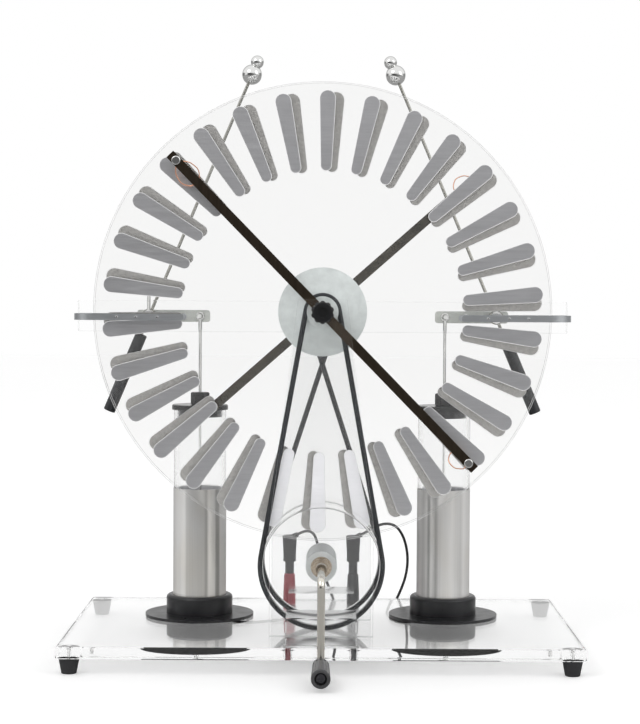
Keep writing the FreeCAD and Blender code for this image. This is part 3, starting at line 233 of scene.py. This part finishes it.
def plastic(name, colour, rough=0.45, grain=0.3, grain_scale=2600.0, wear=0.12):
    """Moulded plastic or rubber: fine grain, faint mottling, and lighter scuffs as far as wear says."""
    material, tree, shader = new_material(name)
    cloud = noise(tree, place(tree), scale=110.0, detail=4.0)
    scratched = place(tree, stretch=(300.0, 300.0, 1800.0), turn=(0.4, 0.3, 0.2))
    scuffs = noise(tree, scratched, detail=5.0, roughness=0.7)
    base = ramp(tree, cloud, (0.3, scaled(colour, 0.88)), (0.7, scaled(colour, 1.1)))
    paler = tuple(min(1.0, c * 1.35 + 0.015) for c in colour)
    scuffed = ramp(tree, scuffs, (0.55, 0.0), (0.8, wear))
    tree.links.new(blend(tree, scuffed, base, paler), shader.inputs["Base Color"])
    tree.links.new(spread(tree, cloud, rough - 0.08, rough + 0.1), shader.inputs["Roughness"])
    bump(tree, shader, noise(tree, place(tree), scale=grain_scale, detail=2.0), grain, GRAIN_DEPTH)
    return material


def metal(name, colour, rough=0.25, stretch=(700.0, 700.0, 700.0), turn=(0.0, 0.0, 0.0), depth=0.12,
          strength=0.12):
    """Bare metal with brushing or turning marks along one direction. depth says how much its tone varies, and
    strength how much the marks catch the light."""
    material, tree, shader = new_material(name)
    marks = noise(tree, place(tree, stretch, turn), detail=5.0, roughness=0.65)
    cloud = noise(tree, place(tree), scale=60.0)
    shade = blend(tree, cloud, scaled(colour, 1.0 - depth), scaled(colour, 1.0 + depth))
    streaks = ramp(tree, marks, (0.3, 1.0 - depth), (0.7, 1.0))
    tree.links.new(multiply(tree, shade, streaks), shader.inputs["Base Color"])
    shader.inputs["Metallic"].default_value = 1.0
    tree.links.new(spread(tree, marks, rough * 0.7, rough * 1.3), shader.inputs["Roughness"])
    bump(tree, shader, marks, strength, BRUSHED_DEPTH)
    return material


def sector_outline(tree, first_angle):
    """How far a point lies inside its sector's outline, in metres. The sectors repeat all round. Each has a
    small round end, a larger one, and straight sides that touch both."""
    where = parts_of(tree, place(tree, shift=(0.0, 0.0, -AXLE_HEIGHT)))
    reach = distance(tree, where["X"], where["Z"])
    around = maths(tree, "ARCTAN2", where["X"], where["Z"])
    half_pitch = math.pi / SECTOR_COUNT
    aside = maths(tree, "WRAP", maths(tree, "SUBTRACT", around, first_angle), half_pitch, -half_pitch)
    side = maths(tree, "ABSOLUTE", maths(tree, "MULTIPLY", reach, maths(tree, "SINE", aside)))
    outward = maths(tree, "MULTIPLY", reach, maths(tree, "COSINE", aside))
    along = maths(tree, "SUBTRACT", outward, INNER_END)
    length = OUTER_END - INNER_END
    beyond = maths(tree, "SUBTRACT", along, length)
    taper = (INNER_ROUND - OUTER_ROUND) / length
    squared = maths(tree, "MULTIPLY", side, math.sqrt(1.0 - taper * taper))
    leaning = maths(tree, "ADD", squared, maths(tree, "MULTIPLY", along, taper))
    straight = maths(tree, "SUBTRACT", leaning, INNER_ROUND)
    outer = maths(tree, "SUBTRACT", distance(tree, side, beyond), OUTER_ROUND)
    inner = maths(tree, "SUBTRACT", distance(tree, side, along), INNER_ROUND)
    past_outer = maths(tree, "GREATER_THAN", beyond, 0.0)
    past_inner = maths(tree, "LESS_THAN", along, 0.0)
    between = maths(tree, "SUBTRACT", maths(tree, "SUBTRACT", 1.0, past_outer), past_inner)
    outside = maths(tree, "MULTIPLY", between, straight)
    for share, end in ((past_outer, outer), (past_inner, inner)):
        outside = maths(tree, "ADD", outside, maths(tree, "MULTIPLY", share, end))
    return maths(tree, "MULTIPLY", outside, -1.0)


GLUE_TONES = ((0.3, (0.34, 0.33, 0.32)), (0.62, (0.46, 0.45, 0.435)), (0.78, (0.85, 0.83, 0.80)))


def foil(name, first_angle=None, glue_side=0):
    """Satin foil with fine rolling marks. With first_angle it has a painted highlight: a thin white line
    round each sector's outline, where light catches the foil's edge. glue_side is +1 or -1 where that side,
    along Y, shows its dull speckled adhesive through the disc."""
    material, tree, shader = new_material(name)
    drawn_out = place(tree, stretch=(60.0, 60.0, 900.0), turn=(0.0, 0.5, 0.0))
    rolled = noise(tree, drawn_out, detail=4.0, roughness=0.6)
    cloud = noise(tree, place(tree), scale=34.0, detail=2.0)
    satin = blend(tree, cloud, (0.78, 0.78, 0.80), (0.90, 0.90, 0.925))
    tone = multiply(tree, satin, ramp(tree, rolled, (0.3, 0.93), (0.7, 1.0)))
    if glue_side:
        mottle = noise(tree, place(tree), scale=420.0, detail=5.0, roughness=0.7)
        glue = ramp(tree, mottle, *GLUE_TONES)
        speckled = multiply(tree, glue, ramp(tree, cells(tree, 380.0), (0.0, 0.75), (0.1, 1.0)))
        towards = maths(tree, "GREATER_THAN", maths(tree, "MULTIPLY", facing(tree)["Y"], glue_side), 0.5)
        tone = blend(tree, towards, tone, speckled)
    shader.inputs["Metallic"].default_value = 1.0
    if first_angle is not None:
        # Painted highlight: a thin white, non-metal line round each sector's outline, standing in for light
        # caught by the foil's edge.
        painted_glint = maths(tree, "LESS_THAN", sector_outline(tree, first_angle), EDGE_GLINT_WIDTH)
        tone = blend(tree, painted_glint, tone, (0.86, 0.86, 0.86))
        tree.links.new(maths(tree, "SUBTRACT", 1.0, painted_glint), shader.inputs["Metallic"])
    tree.links.new(tone, shader.inputs["Base Color"])
    tree.links.new(spread(tree, rolled, 0.28, 0.4), shader.inputs["Roughness"])
    bump(tree, shader, rolled, 0.05, BRUSHED_DEPTH)
    return material


# Painted reflections: how bright each upright band of a jar's steel is painted, as the room would mirror in
# it, from its left edge at 0 to its right edge at 1.
LEFT_JAR_PAINTED_REFLECTIONS = (
    (0.0, 0.75), (0.04, 0.9), (0.1, 1.0), (0.24, 1.0), (0.28, 0.74), (0.6, 0.72), (0.65, 0.5),
    (0.7, 0.95), (0.8, 0.95), (0.83, 0.5), (0.87, 0.5), (0.9, 0.95), (0.97, 1.0), (1.0, 0.85),
)
RIGHT_JAR_PAINTED_REFLECTIONS = (
    (0.0, 0.7), (0.04, 0.9), (0.1, 0.75), (0.16, 0.95), (0.2, 0.5), (0.24, 0.95), (0.33, 0.5),
    (0.38, 0.9), (0.45, 1.0), (0.64, 1.0), (0.7, 0.8), (0.8, 0.75), (0.86, 1.0), (1.0, 0.85),
)


def jar_steel():
    """Thin bright steel wrapped round the jars: upright grain, and painted reflections, upright bright and
    dark bands that stand in for the room mirrored in it, which differ between the left jar and the right one."""
    material, tree, shader = new_material("jar_steel")
    grain = noise(tree, place(tree, stretch=(1500.0, 1500.0, 12.0)), detail=5.0, roughness=0.6)
    waver = noise(tree, place(tree, stretch=(9.0, 9.0, 16.0)), detail=2.0, roughness=0.5)
    warmth = noise(tree, place(tree, stretch=(40.0, 40.0, 14.0)), detail=2.0)
    across = parts_of(tree, place(tree))["X"]
    from_middle = maths(tree, "SUBTRACT", maths(tree, "ABSOLUTE", across), JAR_REACH)
    rightward = maths(tree, "MULTIPLY", from_middle, maths(tree, "SIGN", across))
    share = maths(tree, "ADD", maths(tree, "DIVIDE", rightward, 2.0 * JAR_RADIUS), 0.5)
    share = maths(tree, "ADD", share, spread(tree, waver, -0.012, 0.012))
    on_right = maths(tree, "GREATER_THAN", across, 0.0)
    # Painted reflections: bright and dark upright bands by where a point lies across its jar, standing in for
    # the room mirrored in the steel.
    painted_reflections = blend(tree, on_right, ramp(tree, share, *LEFT_JAR_PAINTED_REFLECTIONS), ramp(tree, share, *RIGHT_JAR_PAINTED_REFLECTIONS))
    warm = ramp(tree, warmth, (0.45, 0.0), (0.75, 0.6))
    tint = blend(tree, warm, (0.98, 0.97, 0.95), (0.92, 0.87, 0.77))
    lined = ramp(tree, grain, (0.25, 0.9), (0.75, 1.0))
    tree.links.new(multiply(tree, multiply(tree, painted_reflections, tint), lined), shader.inputs["Base Color"])
    shader.inputs["Metallic"].default_value = 0.6
    tree.links.new(spread(tree, grain, 0.3, 0.42), shader.inputs["Roughness"])
    bump(tree, shader, grain, 0.06, BRUSHED_DEPTH)
    return material


# Stretches that draw a metal's marks out along one axis, or along the neutraliser bars.
TURNED = (900.0, 60.0, 900.0)
ALONG_X = (60.0, 1300.0, 1300.0)
ALONG_BAR = (1200.0, 1200.0, 40.0)
FRONT_BAR_LEAN = (0.0, math.radians(44), 0.0)
REAR_BAR_LEAN = (0.0, math.radians(-50), 0.0)
BARELY_TINTED = (0.998, 0.999, 0.999)

sheet_clear = acrylic("clear_sheet", BARELY_TINTED, index=1.2, edge_veil=0.7)
sheet_veiled = acrylic("veiled_sheet", BARELY_TINTED, index=1.2, veil=0.08, edge_veil=0.7)
plate_clear = acrylic("clear_base", (0.985, 0.987, 0.987), flat_axis="Z", edge_veil=0.03, edge_rough=0.03)
block_clear = acrylic("clear_block", BARELY_TINTED, flat_axis="X", index=1.06, edge_veil=0.0)
bar_clear = acrylic("clear_crossbar", BARELY_TINTED, index=1.12, edge_veil=0.1)
disc_clear = acrylic("clear_disc", (0.972, 0.972, 0.97), index=1.3, edge_veil=0.9)
pulley_clear = acrylic("clear_pulley", (0.998, 0.998, 0.998), index=1.15, edge_veil=0.15)
jar_clear = acrylic("clear_jar", (0.99, 0.992, 0.992), flat_axis="Z", index=1.2, edge_veil=0.0)
front_foil = foil("front_foil", first_angle=math.radians(1.1))
rear_foil = foil("rear_foil", first_angle=math.radians(3.4), glue_side=-1)
inner_foil = foil("jar_inner_foil")
outer_steel = jar_steel()
boss_grey = plastic("boss_grey", (0.66, 0.70, 0.69), rough=0.5, grain=0.12, wear=0.03)
bar_front = metal("bar_dark_front", (0.060, 0.046, 0.034), 0.42, ALONG_BAR, FRONT_BAR_LEAN, depth=0.22)
bar_rear = metal("bar_dark_rear", (0.075, 0.066, 0.052), 0.42, ALONG_BAR, REAR_BAR_LEAN, depth=0.22)
rod_nickel = metal("rod_nickel", (0.78, 0.75, 0.68), rough=0.1, depth=0.06, strength=0.06)
aged_steel = metal("aged_steel", (0.40, 0.34, 0.27), rough=0.24)
dark_screw = metal("dark_screw", (0.10, 0.10, 0.11), rough=0.3)
grey_rod = metal("grey_rod", (0.40, 0.395, 0.36), rough=0.2)
nickel = metal("bright_nickel", (0.80, 0.80, 0.79), rough=0.07, depth=0.05, strength=0.05)
steel = metal("turned_steel", (0.62, 0.61, 0.59), rough=0.22, stretch=TURNED)
alloy = metal("satin_alloy", (0.60, 0.62, 0.64), rough=0.38, stretch=ALONG_X)
plate_olive = metal("dull_plate", (0.74, 0.76, 0.72), rough=0.42, stretch=ALONG_X)
copper = metal("copper_wire", (0.98, 0.50, 0.32), rough=0.35)
black = plastic("black_moulded", (0.016, 0.016, 0.018), rough=0.4, grain=0.25)
knob_black = plastic("knob_black", (0.005, 0.005, 0.006), rough=0.35, grain=0.15, wear=0.04)
black_gloss = plastic("black_polished", (0.018, 0.018, 0.020), rough=0.2, grain=0.05)
handle_grey = plastic("handle_dark", (0.018, 0.020, 0.023), rough=0.35, grain=0.2)
red = plastic("red_moulded", (0.50, 0.018, 0.045), rough=0.25, grain=0.08)
ring_black = plastic("ring_black", (0.009, 0.009, 0.011), rough=0.3, grain=0.15, grain_scale=1800.0,
                     wear=0.05)
grip_black = plastic("grip_black", (0.050, 0.050, 0.053), rough=0.33, grain=0.2)
sleeve_grey = plastic("sleeve_grey", (0.72, 0.745, 0.74), grain=0.12, wear=0.03)
nylon = plastic("white_nylon", (0.80, 0.80, 0.77), rough=0.4, grain=0.1)
belt = plastic("belt_rubber", (0.022, 0.025, 0.028), rough=0.5, grain=0.4, grain_scale=1500.0, wear=0.15)
rubber = plastic("foot_rubber", (0.026, 0.026, 0.028), rough=0.6, grain=0.5, grain_scale=1500.0)
lead_black = plastic("lead_black", (0.016, 0.016, 0.018), rough=0.35, grain=0.1)

FINISH = {
    "base_plate": plate_clear,
    "rubber_feet": rubber,
    "foot_screws": nickel,
    "front_upright": sheet_clear,
    "rear_upright": sheet_veiled,
    "upright_blocks": block_clear,
    "shaft_bushes": aged_steel,
    "crossbar": bar_clear,
    "crossbar_screws": nickel,
    "axle": steel,
    "axle_washers": nylon,
    "star_knobs": knob_black,
    "front_belt": belt,
    "rear_belt": belt,
    "left_collector_strip": alloy,
    "right_collector_strip": alloy,
    "comb_pins": nickel,
    "collector_posts": alloy,
    "terminal_screws": nickel,
    "terminal_spacers": nickel,
    "link_plates": plate_olive,
    "jar_holders": ring_black,
    "jar_tubes": jar_clear,
    "jar_outer_coatings": outer_steel,
    "jar_inner_coatings": inner_foil,
    "jar_caps": black_gloss,
    "jar_nuts": black,
    "jar_rods": nickel,
    "jar_screws": nickel,
    "ring_terminals": nickel,
    "left_socket": red,
    "right_socket": black_gloss,
    "socket_nuts": nickel,
    "plugs": black,
    "left_lead": lead_black,
    "right_lead": lead_black,
    "crank_rod": rod_nickel,
    "pulley_sleeve": sleeve_grey,
    "large_pulleys": pulley_clear,
    "pulley_nuts_and_washers": aged_steel,
    "grip_screw": dark_screw,
    "crank_grip": grip_black,
    "front_disc": disc_clear,
    "front_sectors": front_foil,
    "front_boss": boss_grey,
    "rear_disc": disc_clear,
    "rear_sectors": rear_foil,
    "rear_boss": boss_grey,
    "front_neutraliser_bar": bar_front,
    "front_bar_screws": nickel,
    "front_brushes": copper,
    "rear_neutraliser_bar": bar_rear,
    "rear_bar_screws": nickel,
    "rear_brushes": copper,
    "left_electrode_rods": grey_rod,
    "left_electrode_balls": nickel,
    "left_electrode_handle": handle_grey,
    "right_electrode_rods": grey_rod,
    "right_electrode_balls": nickel,
    "right_electrode_handle": handle_grey,
}

for name, piece in nodes.items():
    for slot in piece.material_slots:
        slot.material = FINISH[name]

# The clear pieces are bonded or pressed together. A hair's breadth between their faces keeps light from being
# bent twice at one place.
HAIR = 0.00003
SAME_POINT = 0.00001
BONDED = (
    "front_upright", "rear_upright", "upright_blocks", "crossbar", "jar_tubes", "front_disc", "rear_disc",
)
for name in BONDED:
    weld = nodes[name].modifiers.new("joined", "WELD")
    weld.merge_threshold = SAME_POINT
    shrink = nodes[name].modifiers.new("parted", "DISPLACE")
    shrink.mid_level = 0.0
    shrink.strength = -HAIR

# leads
# Each route goes from the plug, under the base plate, to the ring terminal below a jar, in millimetres.
LEAD_WIDE = 0.002
LEFT_LEAD = [
    (-17.296, 107.5, 69.792), (-11.998, 107.5, 72.609), (-6.0, 109.0, 71.0), (-3.5, 111.4, 64.9),
    (-1.5, 115.0, 54.8), (1.0, 119.6, 42.5), (4.6, 126.5, 30.0), (9.0, 132.5, 19.0), (10.6, 134.3, 10.0),
    (8.6, 131.8, 3.2), (3.4, 127.0, 1.2), (-4.5, 121.5, 1.1), (-16.0, 110.5, 1.1), (-29.0, 96.0, 1.1),
    (-44.0, 84.0, 1.1), (-57.0, 76.5, 1.9), (-66.0, 70.9, 4.5), (-72.948, 65.152, 9.05),
    (-78.605, 59.495, 9.05),
]
RIGHT_LEAD = [
    (29.304, 107.5, 69.792), (37.251, 107.5, 74.017), (45.6, 108.9, 77.4), (53.6, 112.2, 76.2),
    (59.2, 116.2, 69.8), (62.9, 120.6, 60.2), (64.6, 125.3, 48.6), (63.6, 130.0, 36.2), (60.0, 133.8, 24.4),
    (55.0, 135.6, 13.6), (51.0, 133.6, 5.6), (48.9, 127.4, 1.6), (49.4, 118.2, 1.1), (51.6, 104.4, 1.15),
    (56.4, 90.8, 1.1), (63.8, 80.2, 2.0), (67.6, 72.4, 5.0), (72.948, 65.152, 9.05), (78.605, 59.495, 9.05),
]


def lay_lead(name, route, node):
    curve = bpy.data.curves.new(name, "CURVE")
    curve.dimensions = "3D"
    curve.bevel_depth = LEAD_WIDE / 2
    curve.bevel_resolution = 5
    curve.use_fill_caps = True
    spline = curve.splines.new("NURBS")
    spline.points.add(len(route) - 1)
    for point, (x, y, z) in zip(spline.points, route):
        point.co = (x / 1000, y / 1000, z / 1000, 1.0)
    spline.order_u = 3
    spline.use_endpoint_u = True
    spline.resolution_u = 10
    curve.materials.append(lead_black)
    lead = bpy.data.objects.new(name, curve)
    bpy.context.scene.collection.objects.link(lead)
    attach(lead, "stand")
    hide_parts(node)


lay_lead("left_flex", LEFT_LEAD, node="left_lead")
lay_lead("right_flex", RIGHT_LEAD, node="right_lead")


# floor, world and lamps
WHITE = (1.0, 1.0, 1.0)
MACHINE_MIDDLE = (0.0, 0.0, 0.2)
FLOOR_HALF = 6.0
# The floor's own light where it is seen, which leaves it white round the shadow.
FLOOR_GLOW = 0.26
# How bright the floor is where metal mirrors it, from the machine at 0 to MIRRORED_REACH before it at 1.
MIRRORED_REACH = 2.0
MIRRORED_FLOOR = ((0.5, 0.42), (0.66, 0.1))
# How bright the room is where metal mirrors it. All round, it goes from behind the machine at 0 by the left
# side at 0.25, the camera's side at 0.5 and the right side at 0.75 to behind the machine again at 1.
ROOM_ROUND = (
    (0.0, 1.0), (0.07, 1.0), (0.12, 0.25), (0.22, 0.2), (0.29, 1.0), (0.34, 0.9), (0.375, 0.15), (0.43, 0.05),
    (0.5, 0.14), (0.57, 0.45), (0.625, 0.6), (0.66, 0.9), (0.71, 1.0), (0.78, 0.3), (0.88, 0.3), (0.93, 1.0),
    (1.0, 1.0),
)
# Where the pale top of the room takes over, by height, and how bright the top is from its middle to its back.
ROOM_TOP_FROM = ((0.2, 0.0), (0.27, 1.0))
ROOM_TOP = ((0.35, 1.0), (0.8, 0.55))
ROOM_LIGHT = (0.8, 0.8, 0.8)


def light_path(tree, kind):
    """1 for a ray of that kind."""
    return tree.nodes.new("ShaderNodeLightPath").outputs[kind]


def seen_ray(tree):
    """1 for what the camera sees, straight or through the clear sheets."""
    return maths(tree, "MAXIMUM", light_path(tree, "Is Camera Ray"), light_path(tree, "Is Transmission Ray"))


def make_floor():
    corners = [(across * FLOOR_HALF, along * FLOOR_HALF, 0.0)
               for across, along in ((-1, -1), (1, -1), (1, 1), (-1, 1))]
    mesh = bpy.data.meshes.new("floor")
    mesh.from_pydata(corners, [], [(0, 1, 2, 3)])
    floor = bpy.data.objects.new("floor", mesh)
    bpy.context.scene.collection.objects.link(floor)
    material, tree, shader = new_material("pale_floor")
    pale = blend(tree, noise(tree, place(tree), scale=40.0), (0.895, 0.895, 0.895), (0.905, 0.905, 0.905))
    before = maths(tree, "DIVIDE", parts_of(tree, place(tree))["Y"], -MIRRORED_REACH)
    seen = seen_ray(tree)
    mirrored = maths(tree, "MULTIPLY", light_path(tree, "Is Glossy Ray"), maths(tree, "SUBTRACT", 1.0, seen))
    darker = ramp(tree, before, *MIRRORED_FLOOR)
    tree.links.new(blend(tree, mirrored, pale, darker), shader.inputs["Base Color"])
    shader.inputs["Roughness"].default_value = 0.6
    shader.inputs["Specular IOR Level"].default_value = 0.2
    shader.inputs["Emission Color"].default_value = (*WHITE, 1.0)
    tree.links.new(maths(tree, "MULTIPLY", seen, FLOOR_GLOW), shader.inputs["Emission Strength"])
    mesh.materials.append(material)


def make_world():
    """White where it is seen. Where metal mirrors it: white overhead and behind, a dark room behind the
    camera, a strip lamp at each side and a dark flag beyond it."""
    world = bpy.data.worlds.new("studio")
    bpy.context.scene.world = world
    world.use_nodes = True
    tree = world.node_tree
    background = tree.nodes["Background"]
    where = parts_of(tree, tree.nodes.new("ShaderNodeTexCoord").outputs["Generated"])
    around = maths(tree, "ARCTAN2", where["X"], maths(tree, "MULTIPLY", where["Y"], -1.0))
    share = maths(tree, "ADD", maths(tree, "DIVIDE", around, 2.0 * math.pi), 0.5)
    overhead = ramp(tree, where["Z"], *ROOM_TOP_FROM)
    room = blend(tree, overhead, ramp(tree, share, *ROOM_ROUND), ramp(tree, where["Y"], *ROOM_TOP))
    lit = blend(tree, light_path(tree, "Is Glossy Ray"), ROOM_LIGHT, room)
    tree.links.new(blend(tree, seen_ray(tree), lit, WHITE), background.inputs["Color"])
    background.inputs["Strength"].default_value = 1.0


def make_lamp(name, lamp_place, size, power):
    data = bpy.data.lights.new(name, "AREA")
    data.shape = "RECTANGLE"
    data.size, data.size_y = size
    data.energy = power
    lamp = bpy.data.objects.new(name, data)
    lamp.location = lamp_place
    lamp.rotation_euler = (Vector(MACHINE_MIDDLE) - Vector(lamp_place)).to_track_quat("-Z", "Y").to_euler()
    lamp.visible_camera = False
    lamp.visible_transmission = False
    bpy.context.scene.collection.objects.link(lamp)


make_floor()
make_world()
make_lamp("key", lamp_place=(-1.5, -1.7, 2.0), size=(1.2, 1.2), power=14.0)
make_lamp("fill", lamp_place=(1.9, -1.3, 1.3), size=(1.0, 1.4), power=7.0)

# Light passes many clear faces, one behind another, before it is seen.
CLEAR_BOUNCES = 32
scene = bpy.context.scene
scene.view_settings.view_transform = "Standard"
scene.cycles.max_bounces = CLEAR_BOUNCES
scene.cycles.transmission_bounces = CLEAR_BOUNCES
scene.cycles.glossy_bounces = CLEAR_BOUNCES
scene.cycles.diffuse_bounces = 4
